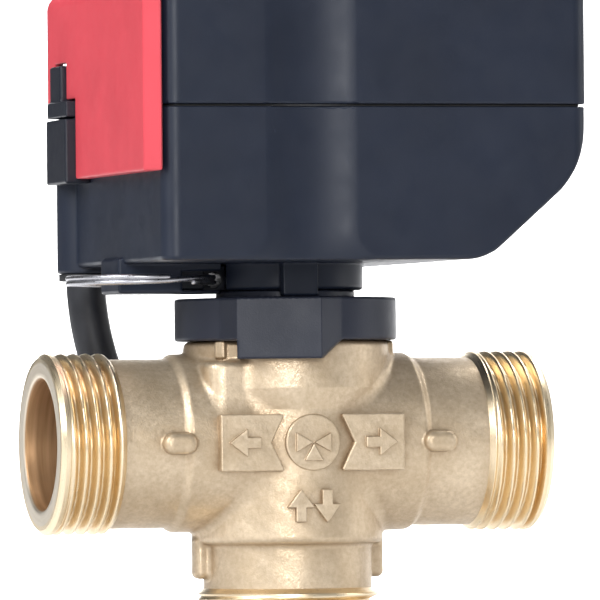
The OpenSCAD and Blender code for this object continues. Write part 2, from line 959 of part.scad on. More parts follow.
module lead_wires() {
    colours = ["#7a4a24", "#2b4f9e", "#1a1a1c"];
    wire_half = 0.6;
    wire_z = 58;
    for (k = [0 : 2])
        raised() color(colours[k])
        translate([column_pos[0] + 0.7 + 1.35 * k, 0, 0]) {
            rod([0, column_pos[1]], wire_half, cable_top + 0.1, wire_z);
            translate([0, column_pos[1], wire_z])
                sphere(r = wire_half, $fn = 24);
            translate([0, column_pos[1], wire_z])
                rotate([90, 0, 0])
                    cylinder(r = wire_half, h = 12.5 + 1.2 * k, $fn = 24);
        }
}

valve_body();
valve_ball();
seat_a();
seat_b();
retainer_a();
retainer_b();
valve_stem();
stem_seals();
bonnet();
bonnet_seal();
bonnet_circlip();
collar_snap_ring();
mounting_collar();
base_housing();
cable_bush();
cable();
upper_cover();
housing_gasket();
cover_screws();
end_cover();
catch_keeper();
catch_lever();
catch_pin();
latch_slider();
latch_spring();
pull_ring();
output_spindle();
output_gear();
limit_cam();
gear_2();
gear_1();
gear_axles();
gear_plate();
plate_screws();
motor_case();
motor_coil();
motor_rotor();
motor_pinion();
motor_screws();
circuit_board();
limit_switch_a();
limit_switch_b();
terminal_block();
lead_wires();
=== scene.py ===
"""Looks of a motorised three way valve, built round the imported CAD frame.

Shapes are written in millimetres from the point where the axis of ports A and B crosses the stem:
+X runs to port B, -Y to the front, +Z up the stem. to_frame() turns them into metres in the frame.
"""
import json
import math

import bpy
import numpy as np
from mathutils import Matrix, Vector


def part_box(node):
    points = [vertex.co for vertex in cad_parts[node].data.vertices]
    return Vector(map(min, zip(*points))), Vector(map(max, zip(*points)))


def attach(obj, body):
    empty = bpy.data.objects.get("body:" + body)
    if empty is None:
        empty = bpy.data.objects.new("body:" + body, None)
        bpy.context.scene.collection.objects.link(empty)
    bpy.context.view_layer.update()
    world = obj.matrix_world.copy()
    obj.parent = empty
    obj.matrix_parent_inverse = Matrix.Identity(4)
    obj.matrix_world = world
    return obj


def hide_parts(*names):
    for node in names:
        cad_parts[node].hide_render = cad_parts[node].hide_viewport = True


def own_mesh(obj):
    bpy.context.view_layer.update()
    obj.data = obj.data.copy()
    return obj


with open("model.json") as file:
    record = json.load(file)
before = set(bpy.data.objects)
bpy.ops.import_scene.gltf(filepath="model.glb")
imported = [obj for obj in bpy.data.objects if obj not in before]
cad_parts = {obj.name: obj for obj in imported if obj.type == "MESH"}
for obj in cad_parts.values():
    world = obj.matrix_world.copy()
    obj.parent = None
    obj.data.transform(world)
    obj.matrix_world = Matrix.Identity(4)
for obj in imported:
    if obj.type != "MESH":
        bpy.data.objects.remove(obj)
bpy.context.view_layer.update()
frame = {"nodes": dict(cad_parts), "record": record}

MM = 0.001
RECORD = frame["record"]
MOUNTS = {m["name"]: m for m in RECORD["mounts"]}
AXIS_Z = MOUNTS["port_a_face"]["pos_m"][2]
BOX = {n: [np.array(c) / MM - (0, 0, AXIS_Z / MM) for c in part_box(n)] for n in frame["nodes"]}

# Sizes that several pieces share
HALF_SPAN = BOX["valve_body"][1][0]
AB_FACE = BOX["valve_body"][0][2]
CASE_HIGH = BOX["upper_cover"][1]
CASE_BASE = 33.0
SPLIT_LOW = BOX["base_housing"][1][2]
SPLIT_HIGH = SPLIT_LOW + 0.5
CASE_TOP = CASE_HIGH[2]
CASE_LEFT = -32.7
CASE_RIGHT = CASE_HIGH[0]
HALF_DEPTH = CASE_HIGH[1]
WALL = 2.2
PORT_BORE = 12.0
THREAD_R = 16.62
ROOT_R = 15.15
TUBE_R = 15.55
PITCH = 2.309
SIDE_THREAD = 11.5
LOW_THREAD = 13.8
LAND_BACK = 1.65
FACE_CHAMFER = 0.87
NECK_R = 18.95
NECK_TOP = 18.7
SPIGOT_R = 16.0
STEP = 0.38


# ---------- Fields: signed distance to a surface, negative inside ----------


def both(a, b, r=0.0):
    """Overlap of two fields, its edge rounded by r."""
    corner = np.hypot(np.maximum(a + r, 0), np.maximum(b + r, 0))
    return np.minimum(np.maximum(a, b), -r) + corner


def join(a, b, r=0.0):
    """Union of two fields, its inner corner filled by r."""
    return -both(-a, -b, r)


def cut(a, b, r=0.0):
    """Field a without field b, its edge rounded by r."""
    return both(a, -b, r)


def between(v, low, high):
    """Field of the space between two parallel planes."""
    return np.abs(v - (low + high) / 2) - (high - low) / 2


def block(p, low, high, r=0.0):
    """Box from its lowest to its highest corner, its edges rounded by r."""
    spans = np.stack([between(p[:, k], low[k] + r, high[k] - r) for k in range(3)])
    outside = np.sqrt((np.maximum(spans, 0) ** 2).sum(0))
    return outside + np.minimum(spans.max(0), 0) - r


def rod(p, axis, at, radius, low, high, r=0.0):
    """Round rod along an axis (0, 1 or 2) at a place on the two other axes."""
    u, v = [p[:, k] for k in range(3) if k != axis]
    side = np.hypot(u - at[0], v - at[1]) - (radius - r)
    return both(side, between(p[:, axis], low + r, high - r)) - r


def inset(corners, r):
    """Anticlockwise outline moved inwards by r."""
    points = np.array(corners, float)
    edges = np.roll(points, -1, 0) - points
    inward = np.stack([-edges[:, 1], edges[:, 0]], 1) / np.hypot(*edges.T)[:, None]
    before = np.roll(inward, 1, 0)
    return points + (inward + before) * r / (1 + (inward * before).sum(1))[:, None]


def outline(u, v, corners, r=0.0):
    """Field of an anticlockwise outline in a plane, its outer corners rounded by r."""
    points = inset(corners, r)
    nearest = np.full(len(u), np.inf)
    inside = np.zeros(len(u), bool)
    for (u0, v0), (u1, v1) in zip(points, np.roll(points, -1, 0)):
        du, dv = u1 - u0, v1 - v0
        t = np.clip(((u - u0) * du + (v - v0) * dv) / (du * du + dv * dv), 0, 1)
        nearest = np.minimum(nearest, (u - u0 - t * du) ** 2 + (v - v0 - t * dv) ** 2)
        if v0 != v1:
            inside ^= ((v0 > v) != (v1 > v)) & (u < du * (v - v0) / dv + u0)
    return np.where(inside, -1, 1) * np.sqrt(nearest) - r


def turned(p, degrees):
    """Points seen by a shape that is turned by this angle about the stem."""
    a = math.radians(-degrees)
    x = p[:, 0] * math.cos(a) - p[:, 1] * math.sin(a)
    y = p[:, 0] * math.sin(a) + p[:, 1] * math.cos(a)
    return np.stack([x, y, p[:, 2]], 1)


def ring(p, outer, inner, low, high, r=0.0):
    """Upright ring about the stem."""
    return cut(rod(p, 2, (0, 0), outer, low, high, r), rod(p, 2, (0, 0), inner, low - 1, high + 1))


# ---------- Meshes ----------


def surface_net(field, low, high, step):
    """(vertices, quads, normals) of a field's surface, with one vertex in each cell that it crosses."""
    start = [lo - 1.63 * step for lo in low]
    axes = [np.arange(s, hi + 2 * step, step) for s, hi in zip(start, high)]
    shape = tuple(len(a) for a in axes)
    grid = np.stack(np.meshgrid(*axes, indexing="ij"), -1).reshape(-1, 3)
    chunks = [field(part) for part in np.array_split(grid, max(1, len(grid) // 400000))]
    dist = np.concatenate(chunks).reshape(shape)
    inside = dist < 0
    stride = np.array([shape[1] * shape[2], shape[2], 1])
    total, count = np.zeros((int(np.prod(shape)), 3)), np.zeros(int(np.prod(shape)))
    edges = []
    for axis in range(3):
        here = [slice(None)] * 3
        there = [slice(None)] * 3
        here[axis], there[axis] = slice(0, -1), slice(1, None)
        a, b = dist[tuple(here)], dist[tuple(there)]
        crossed = np.argwhere(inside[tuple(here)] != inside[tuple(there)])
        crossed = crossed[(crossed > 0).all(1)]
        va, vb = a[tuple(crossed.T)], b[tuple(crossed.T)]
        point = crossed.astype(float)
        point[:, axis] += va / (va - vb)
        node = crossed @ stride
        one, two = stride[(axis + 1) % 3], stride[(axis + 2) % 3]
        cells = np.stack([node - one - two, node - two, node, node - one], 1)
        for k in range(4):
            count += np.bincount(cells[:, k], minlength=len(count))
            for c in range(3):
                total[:, c] += np.bincount(cells[:, k], point[:, c], minlength=len(count))
        edges.append(np.where((va < 0)[:, None], cells, cells[:, ::-1]))
    used = count > 0
    index = np.cumsum(used) - 1
    vertices = total[used] / count[used][:, None] * step + start
    vertices, normals = project(field, vertices, step)
    return vertices, index[np.concatenate(edges)], normals


def gradient(field, points, gap):
    """Direction in which a field grows."""
    slope = np.empty_like(points)
    for k in range(3):
        shift = np.zeros(3)
        shift[k] = gap
        slope[:, k] = field(points + shift) - field(points - shift)
    return slope / (2 * gap)


def project(field, vertices, step):
    """Moves vertices onto the surface and returns them with the surface's normals."""
    for _ in range(3):
        slope = gradient(field, vertices, 0.02)
        size = np.maximum((slope**2).sum(1), 0.05)
        move = (field(vertices) / size)[:, None] * slope
        vertices = vertices - np.clip(move, -0.6 * step, 0.6 * step)
    slope = gradient(field, vertices, 0.05)
    return vertices, slope / np.maximum(np.linalg.norm(slope, axis=1), 1e-6)[:, None]


def to_frame(points):
    """Millimetres from the axis crossing to metres in the row frame."""
    return np.asarray(points, float) * MM + (0, 0, AXIS_Z)


def add_mesh(name, points, faces, normals=None):
    """A smooth mesh object from points in millimetres and equal-sided faces."""
    mesh = bpy.data.meshes.new(name)
    faces = np.asarray(faces)
    mesh.vertices.add(len(points))
    mesh.vertices.foreach_set("co", to_frame(points).astype(np.float32).ravel())
    mesh.loops.add(faces.size)
    mesh.loops.foreach_set("vertex_index", faces.astype(np.int32).ravel())
    mesh.polygons.add(len(faces))
    mesh.polygons.foreach_set("loop_start", np.arange(0, faces.size, faces.shape[1], dtype=np.int32))
    mesh.polygons.foreach_set("use_smooth", np.ones(len(faces), bool))
    mesh.update(calc_edges=True)
    mesh.validate()
    if normals is not None:
        mesh.normals_split_custom_set_from_vertices(normals.astype(np.float32).tolist())
    piece = bpy.data.objects.new(name, mesh)
    bpy.context.scene.collection.objects.link(piece)
    return piece


def settle(piece, nodes, material=None):
    """Hides the CAD nodes that a piece stands for, and gives it their body and the material of their slot,
    unless another material is given.
    """
    slot = SLOTS[nodes[0]]
    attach(piece, BODY_OF[nodes[0]])
    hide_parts(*nodes)
    piece.data.materials.append(material or MATERIALS[slot])
    return piece


def solid(name, field, low, high, nodes, step=STEP, material=None):
    """Piece whose surface is a field's zero."""
    vertices, quads, normals = surface_net(field, low, high, step)
    return settle(add_mesh(name, vertices, quads, normals), nodes, material)


def sweep_points(path, radius, sides):
    """(points, quads) of a round bar along a path, with closed rounded ends."""
    path = np.array(path, float)
    along = np.gradient(path, axis=0)
    along /= np.linalg.norm(along, axis=1)[:, None]
    side = np.cross(along[0], (0.0, 0.0, 1.0))
    if np.linalg.norm(side) < 0.1:
        side = np.cross(along[0], (1.0, 0.0, 0.0))
    rings = []
    angles = np.linspace(0, 2 * math.pi, sides, endpoint=False)
    for centre, forward in zip(path, along):
        side = side - forward * (side @ forward)
        side /= np.linalg.norm(side)
        up = np.cross(forward, side)
        rings.append((centre, forward, side, up))
    bevel = radius * 0.25
    stations = [(0, -0.0, 0.02), (0, 0.0, radius - bevel), (0, bevel, radius)]
    stations += [(k, 0.0, radius) for k in range(1, len(path) - 1)]
    last = len(path) - 1
    stations += [(last, -bevel, radius), (last, 0.0, radius - bevel), (last, 0.0, 0.02)]
    points = []
    for k, shift, r in stations:
        centre, forward, side, up = rings[k]
        circle = np.cos(angles)[:, None] * side + np.sin(angles)[:, None] * up
        points.append(centre + forward * shift + circle * r)
    quads = grid_quads(len(stations), sides)
    return np.concatenate(points), quads


def grid_quads(rows, columns, wrap_rows=False):
    """Quads of a grid of points whose columns close on themselves."""
    r = np.arange(rows if wrap_rows else rows - 1)[:, None]
    c = np.arange(columns)[None, :]
    after_r, after_c = (r + 1) % rows, (c + 1) % columns
    corners = [r * columns + c, r * columns + after_c, after_r * columns + after_c, after_r * columns + c]
    return np.stack(corners, -1).reshape(-1, 4)


# ---------- Materials ----------


# Metres of pattern per radian round an axis, small so that turning marks run long
SWEEP_SCALE = 0.0006


class Nodes:
    """Short calls for building one material's nodes."""

    def __init__(self, name):
        self.material = bpy.data.materials.new(name)
        self.material.use_nodes = True
        self.tree = self.material.node_tree
        self.shader = self.tree.nodes["Principled BSDF"]
        self.place = self.tree.nodes.new("ShaderNodeTexCoord").outputs["Object"]

    def put(self, socket, value):
        if isinstance(value, bpy.types.NodeSocket):
            self.tree.links.new(value, socket)
        else:
            socket.default_value = value

    def math(self, operation, a, b=0.0):
        node = self.tree.nodes.new("ShaderNodeMath")
        node.operation = operation
        self.put(node.inputs[0], a)
        self.put(node.inputs[1], b)
        return node.outputs[0]

    def noise(self, size_mm, detail=3.0, roughness=0.5, place=None):
        """Noise from 0 to 1 whose features are about size_mm across."""
        node = self.tree.nodes.new("ShaderNodeTexNoise")
        self.put(node.inputs["Vector"], place or self.place)
        node.inputs["Scale"].default_value = 1.0 / (size_mm * MM)
        node.inputs["Detail"].default_value = detail
        node.inputs["Roughness"].default_value = roughness
        return node.outputs["Fac"]

    def cells(self, size_mm):
        """A random value for each small cell."""
        node = self.tree.nodes.new("ShaderNodeTexVoronoi")
        self.put(node.inputs["Vector"], self.place)
        node.inputs["Scale"].default_value = 1.0 / (size_mm * MM)
        split = self.tree.nodes.new("ShaderNodeSeparateColor")
        self.put(split.inputs[0], node.outputs["Color"])
        return split.outputs[0]

    def spread(self, value, low, high, from_low=0.3, from_high=0.7):
        node = self.tree.nodes.new("ShaderNodeMapRange")
        node.clamp = True
        self.put(node.inputs["Value"], value)
        numbers = {"From Min": from_low, "From Max": from_high, "To Min": low, "To Max": high}
        for key, number in numbers.items():
            node.inputs[key].default_value = number
        return node.outputs[0]

    def mix(self, share, a, b):
        node = self.tree.nodes.new("ShaderNodeMix")
        node.data_type = "RGBA"
        self.put(node.inputs[0], share)
        self.put(node.inputs[6], a)
        self.put(node.inputs[7], b)
        return node.outputs[2]

    def bump(self, height, depth_mm, strength=1.0, normal=None):
        node = self.tree.nodes.new("ShaderNodeBump")
        node.inputs["Strength"].default_value = strength
        node.inputs["Distance"].default_value = depth_mm * MM
        self.put(node.inputs["Height"], height)
        if normal is not None:
            self.put(node.inputs["Normal"], normal)
        return node.outputs[0]

    def around(self, axis):
        """Coordinates that run round an axis: fine across turning marks, slow along them."""
        split = self.tree.nodes.new("ShaderNodeSeparateXYZ")
        self.put(split.inputs[0], self.place)
        x, y, z = split.outputs
        z = self.math("SUBTRACT", z, AXIS_Z)
        along, u, v = {"X": (x, y, z), "Z": (z, x, y)}[axis]
        square = self.math("ADD", self.math("MULTIPLY", u, u), self.math("MULTIPLY", v, v))
        radius = self.math("SQRT", square)
        angle = self.math("MULTIPLY", self.math("ARCTAN2", u, v), SWEEP_SCALE)
        join_up = self.tree.nodes.new("ShaderNodeCombineXYZ")
        self.put(join_up.inputs[0], along)
        self.put(join_up.inputs[1], radius)
        self.put(join_up.inputs[2], angle)
        return join_up.outputs[0]

    def radius(self, axis):
        """Distance from an axis in metres."""
        split = self.tree.nodes.new("ShaderNodeSeparateXYZ")
        self.put(split.inputs[0], self.around(axis))
        return split.outputs[1]

    def openness(self, reach_mm):
        """1 on open surfaces, less in corners and grooves; the mask for painted shade."""
        node = self.tree.nodes.new("ShaderNodeAmbientOcclusion")
        node.samples = 8
        node.inputs["Distance"].default_value = reach_mm * MM
        return node.outputs["AO"]

    def done(self, colour, metal, rough, normal=None, **extra):
        self.put(self.shader.inputs["Base Color"], colour)
        self.put(self.shader.inputs["Metallic"], metal)
        self.put(self.shader.inputs["Roughness"], rough)
        if normal is not None:
            self.put(self.shader.inputs["Normal"], normal)
        for key, value in extra.items():
            self.put(self.shader.inputs[key.replace("_", " ")], value)
        return self.material


def rgb(r, g, b):
    return (r, g, b, 1.0)


def moulded(name, colour, rough, grain_mm=0.25, depth_mm=0.012, lift=1.25, shine=0.5):
    """Moulded plastic with a fine spark-eroded grain and faint handling marks."""
    n = Nodes(name)
    blotch = n.noise(14.0, 3.0)
    lighter = tuple(min(1.0, c * lift) for c in colour[:3]) + (1.0,)
    shade = n.mix(n.spread(blotch, 0.0, 1.0), colour, lighter)
    roughness = n.spread(n.noise(5.0, 5.0), rough - 0.05, rough + 0.06)
    return n.done(shade, 0.0, roughness, n.bump(n.noise(grain_mm, 2.0), depth_mm), Specular_IOR_Level=shine)


def steel(name, colour, rough, scratch_mm=0.4):
    """Plated or drawn steel with fine scratches."""
    n = Nodes(name)
    shade = n.mix(n.spread(n.noise(3.0, 4.0), 0.0, 1.0), colour, tuple(c * 0.8 for c in colour[:3]) + (1.0,))
    roughness = n.spread(n.noise(scratch_mm, 4.0), rough - 0.06, rough + 0.1)
    return n.done(shade, 1.0, roughness, n.bump(n.noise(scratch_mm, 3.0), 0.004))


def cast_brass():
    """Blasted brass casting: pale, grainy, with small bright facets and corners painted darker brown as
    shade.
    """
    n = Nodes("cast_brass")
    tone = n.mix(n.spread(n.noise(9.0, 4.0), 0.0, 1.0), rgb(0.56, 0.44, 0.30), rgb(0.74, 0.61, 0.45))
    tone = n.mix(n.spread(n.noise(0.9, 4.0, 0.6), 0.0, 0.5), tone, rgb(0.42, 0.31, 0.19))
    # Painted shade: the colour turns dark brown where the occlusion mask finds corners, creases and the feet
    # of raised marks.
    tone = n.mix(n.spread(n.openness(4.0), 0.75, 0.0, 0.25, 0.95), tone, rgb(0.20, 0.115, 0.05))
    roughness = n.spread(n.cells(0.20), 0.30, 0.58, 0.0, 1.0)
    normal = n.bump(n.noise(0.30, 3.0, 0.6), 0.04, 0.7)
    normal = n.bump(n.noise(2.4, 3.0), 0.12, 0.7, normal)
    return n.done(tone, 0.62, roughness, normal)


def turned_brass(name, axis, colour, dark, rough):
    """Brass with turning marks round an axis."""
    n = Nodes(name)
    marks = n.noise(0.16, 3.0, 0.7, n.around(axis))
    wide = n.noise(1.4, 2.0, 0.6, n.around(axis))
    shade = n.mix(n.spread(wide, 0.0, 1.0), colour, dark)
    roughness = n.spread(marks, rough, rough + 0.2)
    return n.done(shade, 1.0, roughness, n.bump(marks, 0.010, 0.7))


def port_brass(name, axis):
    """Turned port end: bright thread with shade painted into its grooves, pale face and a browner bore with
    turning marks.
    """
    n = Nodes(name)
    marks = n.noise(0.16, 3.0, 0.7, n.around(axis))
    wide = n.noise(1.4, 2.0, 0.6, n.around(axis))
    radius = n.radius(axis)
    thread = n.mix(n.spread(wide, 0.0, 1.0), rgb(0.95, 0.81, 0.59), rgb(0.84, 0.67, 0.43))
    # Painted shade: the thread colour turns brown in its grooves, where the occlusion mask is low.
    thread = n.mix(n.spread(n.openness(1.4), 0.7, 0.0, 0.2, 0.9), thread, rgb(0.60, 0.37, 0.13))
    face = n.mix(n.spread(wide, 0.0, 1.0), rgb(0.84, 0.77, 0.66), rgb(0.72, 0.64, 0.52))
    bore = n.mix(n.spread(wide, 0.0, 1.0), rgb(0.52, 0.32, 0.17), rgb(0.30, 0.17, 0.08))
    face_edge = (0.0148, 0.0152)
    bore_edge = (0.01215, 0.0124)
    tone = n.mix(n.spread(radius, 0.0, 1.0, *face_edge), face, thread)
    tone = n.mix(n.spread(radius, 1.0, 0.0, *bore_edge), tone, bore)
    metal = n.spread(radius, 0.75, 1.0, *bore_edge)
    roughness = n.math("ADD", n.spread(marks, 0.24, 0.42), n.spread(radius, 0.16, 0.0, *face_edge))
    return n.done(tone, metal, roughness, n.bump(marks, 0.012, 0.8))


def copper_coil():
    n = Nodes("copper_coil")
    turns = n.noise(0.3, 1.0, 0.5, n.around("Z"))
    shade = n.mix(n.spread(turns, 0.0, 1.0), rgb(0.45, 0.16, 0.06), rgb(0.80, 0.36, 0.16))
    return n.done(shade, 0.9, 0.35, n.bump(turns, 0.05))


def circuit_green():
    n = Nodes("circuit_green")
    tracks = n.spread(n.cells(1.6), 0.0, 1.0, 0.45, 0.5)
    shade = n.mix(tracks, rgb(0.02, 0.14, 0.06), rgb(0.04, 0.24, 0.10))
    return n.done(shade, 0.0, 0.28, n.bump(tracks, 0.03))


def cable_jacket():
    n = Nodes("cable_jacket")
    shade = n.mix(n.spread(n.noise(6.0, 3.0), 0.0, 1.0), rgb(0.008, 0.009, 0.012), rgb(0.022, 0.023, 0.028))
    roughness = n.spread(n.noise(1.2, 4.0), 0.38, 0.52)
    return n.done(shade, 0.0, roughness, n.bump(n.noise(0.7, 2.0), 0.012), Specular_IOR_Level=0.35)


def make_materials():
    black = rgb(0.010, 0.014, 0.026)
    return {
        "cast_brass": cast_brass(),
        "machined_brass": turned_brass(
            "machined_brass", "Z", rgb(0.80, 0.58, 0.26), rgb(0.66, 0.44, 0.17), 0.2
        ),
        "ball_chrome": steel("ball_chrome", rgb(0.75, 0.75, 0.74), 0.12),
        "ptfe": moulded("ptfe", rgb(0.88, 0.87, 0.83), 0.42, 0.4, 0.01, 1.04),
        "seal_rubber": moulded("seal_rubber", rgb(0.014, 0.014, 0.016), 0.62, 0.2, 0.02),
        "spring_steel": steel("spring_steel", rgb(0.55, 0.56, 0.58), 0.28),
        "ring_steel": steel("ring_steel", rgb(0.50, 0.50, 0.53), 0.30),
        "case_plastic": moulded("case_plastic", black, 0.40, shine=0.3),
        "collar_plastic": moulded("collar_plastic", rgb(0.016, 0.019, 0.031), 0.42, 0.3, 0.02, shine=0.32),
        "catch_plastic": moulded("catch_plastic", rgb(0.010, 0.012, 0.019), 0.38, shine=0.3),
        "red_plastic": moulded("red_plastic", rgb(0.54, 0.052, 0.070), 0.48, 0.3, 0.01, 1.1, shine=0.35),
        "cable_jacket": cable_jacket(),
        "gear_plastic": moulded("gear_plastic", rgb(0.82, 0.79, 0.70), 0.38, 0.5, 0.01, 1.05),
        "cam_plastic": moulded("cam_plastic", rgb(0.72, 0.50, 0.08), 0.4),
        "plated_steel": steel("plated_steel", rgb(0.66, 0.67, 0.69), 0.26),
        "copper_coil": copper_coil(),
        "rotor_iron": steel("rotor_iron", rgb(0.16, 0.16, 0.17), 0.45),
        "circuit_green": circuit_green(),
        "switch_plastic": moulded("switch_plastic", rgb(0.02, 0.02, 0.022), 0.4),
        "terminal_plastic": moulded("terminal_plastic", rgb(0.05, 0.28, 0.12), 0.4),
        "wire_insulation": moulded("wire_insulation", rgb(0.22, 0.09, 0.05), 0.4),
    }


SLOTS = {s["node"]: s["material_slot"] for s in RECORD["subparts"]}
BODY_OF = {n: body for body, nodes in RECORD["behaviour"]["bodies"].items() for n in nodes}
MATERIALS = make_materials()
THREAD_X = port_brass("thread_brass_x", "X")
THREAD_Z = port_brass("thread_brass_z", "Z")


# ---------- Valve body ----------


def cast_waves(p):
    """Slight unevenness of a sand-cast skin, in millimetres."""
    x, y, z = p.T
    long_waves = np.sin(0.31 * x + 1.3) * np.sin(0.27 * z + 0.4) * np.sin(0.29 * y + 2.1)
    short_waves = np.sin(0.83 * x + 0.7 * z) * np.sin(0.77 * z - 0.6 * y + 1.0)
    return 0.05 * long_waves + 0.03 * short_waves


MARK_FACE = -17.9
BOSS_R = 5.2


def lug(p, degrees):
    """Small rib on the neck under the collar, at an angle from the front."""
    return block(turned(p, degrees), (-1.2, -19.9, 15.3), (1.2, -17, NECK_TOP), 0.5)


def nub(p, side):
    """Oblong lug that stands proud of the shoulder."""
    x, y, z = p.T
    pill = np.hypot(np.maximum(np.abs(x - side * 24.8) - 1.25, 0), z) - 1.95
    return both(pill, between(y, MARK_FACE, -12), 1.3)


def plinth(p):
    """Square-cornered seat on the left of the neck, under the collar's box."""
    plan = outline(p[:, 0], p[:, 1], [(-19, -15.2), (0, -15.2), (0, 0), (-19, 0)], 3.5)
    return both(plan, between(p[:, 2], 3, 14.9), 1.2)


def cast_body(p):
    x, y, z = p.T
    chest = rod(p, 0, (0, 0), 16.4, -22.8, 22.8, 0.9)
    tube = rod(p, 0, (0, 0), TUBE_R, -35, 35)
    low = -18.6
    profile = [(-9, low), (17.65, low), (17.65, 6), (NECK_R, 10), (NECK_R, NECK_TOP), (-9, NECK_TOP)]
    barrel = outline(np.hypot(x, y), z, profile, 1.2)
    spigot = rod(p, 2, (0, 0), SPIGOT_R, 10, 25, 0.5)
    stub = rod(p, 2, (0, 0), 15.5, AB_FACE + LOW_THREAD - 0.1, -10)
    body = join(join(chest, tube, 1.0), barrel, 1.4)
    body = join(body, plinth(p), 0.9)
    body = join(body, spigot)
    body = join(body, stub, 1.0)
    body = join(body, block(p, (-18.1, -2, -25), (18.1, 2, -17), 1.2), 0.8)
    for degrees in (-54, 80):
        body = join(body, lug(p, degrees), 0.5)
    for side in (-1, 1):
        body = join(body, nub(p, side), 0.3)
    body = body + cast_waves(p)
    hollow = rod(p, 2, (0, 0), 13.5, -13.6, 30)
    hollow = join(hollow, rod(p, 0, (0, 0), PORT_BORE, -17.2, 17.2))
    hollow = join(hollow, rod(p, 0, (0, 0), PORT_BORE + 1, 17.1, 50))
    hollow = join(hollow, rod(p, 0, (0, 0), PORT_BORE + 1, -50, -17.1))
    hollow = join(hollow, rod(p, 2, (0, 0), PORT_BORE, -24, -16, 0.0))
    hollow = join(hollow, rod(p, 2, (0, 0), PORT_BORE + 1, -50, -24))
    hollow = join(hollow, rod(p, 2, (0, 0), 9, -20, 0))
    groove = ring(p, SPIGOT_R + 1, SPIGOT_R - 1, 19.8, 21.1)
    return cut(cut(body, hollow, 0.3), groove)


def thread_wave(turns):
    """Depth share of a rounded thread, 0 on a crest and 1 in a groove."""
    away = np.abs(turns - np.floor(turns) - 0.5) * 2
    ramp = np.clip(0.5 + (0.5 - away) * 1.3, 0, 1)
    return 0.45 * ramp + 0.55 * ramp * ramp * (3 - 2 * ramp)


def threaded_end(name, direction, face, start, bore_end, material):
    """Machined port end: run-out, G 1 thread, land with a chamfer, face and bore, as one closed turning."""
    land = face - LAND_BACK
    count = 120
    s = np.linspace(start - 0.9, face - FACE_CHAMFER, count)
    rise = np.clip((s - start + 0.9) / 1.0, 0, 1)
    crest = TUBE_R + (THREAD_R - TUBE_R) * rise
    share = np.clip((s - start) / 1.2, 0, 1) * np.clip((land - s) / 0.6, 0, 1)
    sides = 288
    theta = np.linspace(0, 2 * math.pi, sides, endpoint=False)
    wave = thread_wave((s[:, None] - start) / PITCH - theta[None, :] / (2 * math.pi))
    groove = (THREAD_R - ROOT_R) * share[:, None] * wave
    radius = np.maximum(crest[:, None] - groove, np.minimum(crest[:, None], ROOT_R))
    face_r = THREAD_R - FACE_CHAMFER
    plain = [(face, face_r)]
    plain += [(face, r) for r in np.linspace(face_r - 0.15, PORT_BORE + 0.6, 5)]
    plain += [(face - 0.05, PORT_BORE + 0.45), (face - 0.45, PORT_BORE + 0.06), (face - 0.6, PORT_BORE)]
    plain += [(v, PORT_BORE) for v in np.linspace(face - 2.5, bore_end, 8)]
    plain += [(bore_end, PORT_BORE + 0.98), (start - 0.9, PORT_BORE + 0.98)]
    along = np.concatenate([np.repeat(s[:, None], sides, 1), *[np.full((1, sides), a) for a, _ in plain]])
    radius = np.concatenate([radius, *[np.full((1, sides), r) for _, r in plain]])
    u, v = radius * np.cos(theta), radius * np.sin(theta)
    if direction == "Z":
        points = np.stack([u, -v, -along], -1)
    else:
        points = np.stack([along * direction, u * direction, v], -1)
    faces = grid_quads(len(along), sides, wrap_rows=True)[:, ::-1]
    piece = add_mesh(name, points.reshape(-1, 3), faces)
    piece.data.set_sharp_from_angle(angle=math.radians(35))
    return settle(piece, ["valve_body"], material)


ARROW = [(0.0, -0.75), (0.0, 0.75), (-2.6, 0.75), (-2.6, 2.1), (-5.4, 0.0), (-2.6, -2.1), (-2.6, -0.75)]


def arrow(u, v, at, direction):
    """Arrow outline of 5.4 mm, its middle at a place, pointing along a direction in the plane."""
    c, s = direction
    du, dv = u - at[0], v - at[1]
    back = -(du * c + dv * s) - 2.7
    across = du * s - dv * c
    return outline(back, across, ARROW[::-1], 0.12)


def flow_flag(side):
    """Raised flag on the front with a notch towards the middle and an arrow out to the port."""

    def field(p):
        x, y, z = p.T
        u = x * side
        corners = [(5.4, -5.2), (17.5, -5.2), (17.5, 5.2), (5.4, 5.2), (7.9, 0.0)]
        plate = both(outline(u, z, corners, 0.35), between(y, MARK_FACE, -13.0), 0.3)
        mark = both(arrow(u, z, (12.9, 0), (1, 0)), between(y, -18.55, -15.0), 0.2)
        return join(plate, mark, 0.08) + cast_waves(p)

    return field


def middle_boss(p):
    """Round boss with the usual drawing symbol of a three way valve: three triangles that meet."""
    x, y, z = p.T
    disc = rod(p, 1, (0, 0), BOSS_R, MARK_FACE, -14.0, 0.35)
    tip, reach, half = 0.15, 3.3, 1.75
    triangle = [(tip, 0), (reach, -half), (reach, half)]
    arms = join(outline(x, z, triangle, 0.1), outline(-x, z, triangle, 0.1))
    arms = join(arms, outline(-z, x, triangle, 0.1))
    return join(disc, both(arms, between(y, -18.5, -14.5), 0.15), 0.08) + cast_waves(p)


def lower_mark(p):
    """Two short upright arrows side by side for the common port."""
    x, y, z = p.T
    up = arrow(x, z, (-2.5, -11.6), (0, 1))
    down = arrow(x, z, (2.5, -11.6), (0, -1))
    return both(join(up, down), between(y, -18.5, -15.5), 0.2) + cast_waves(p)


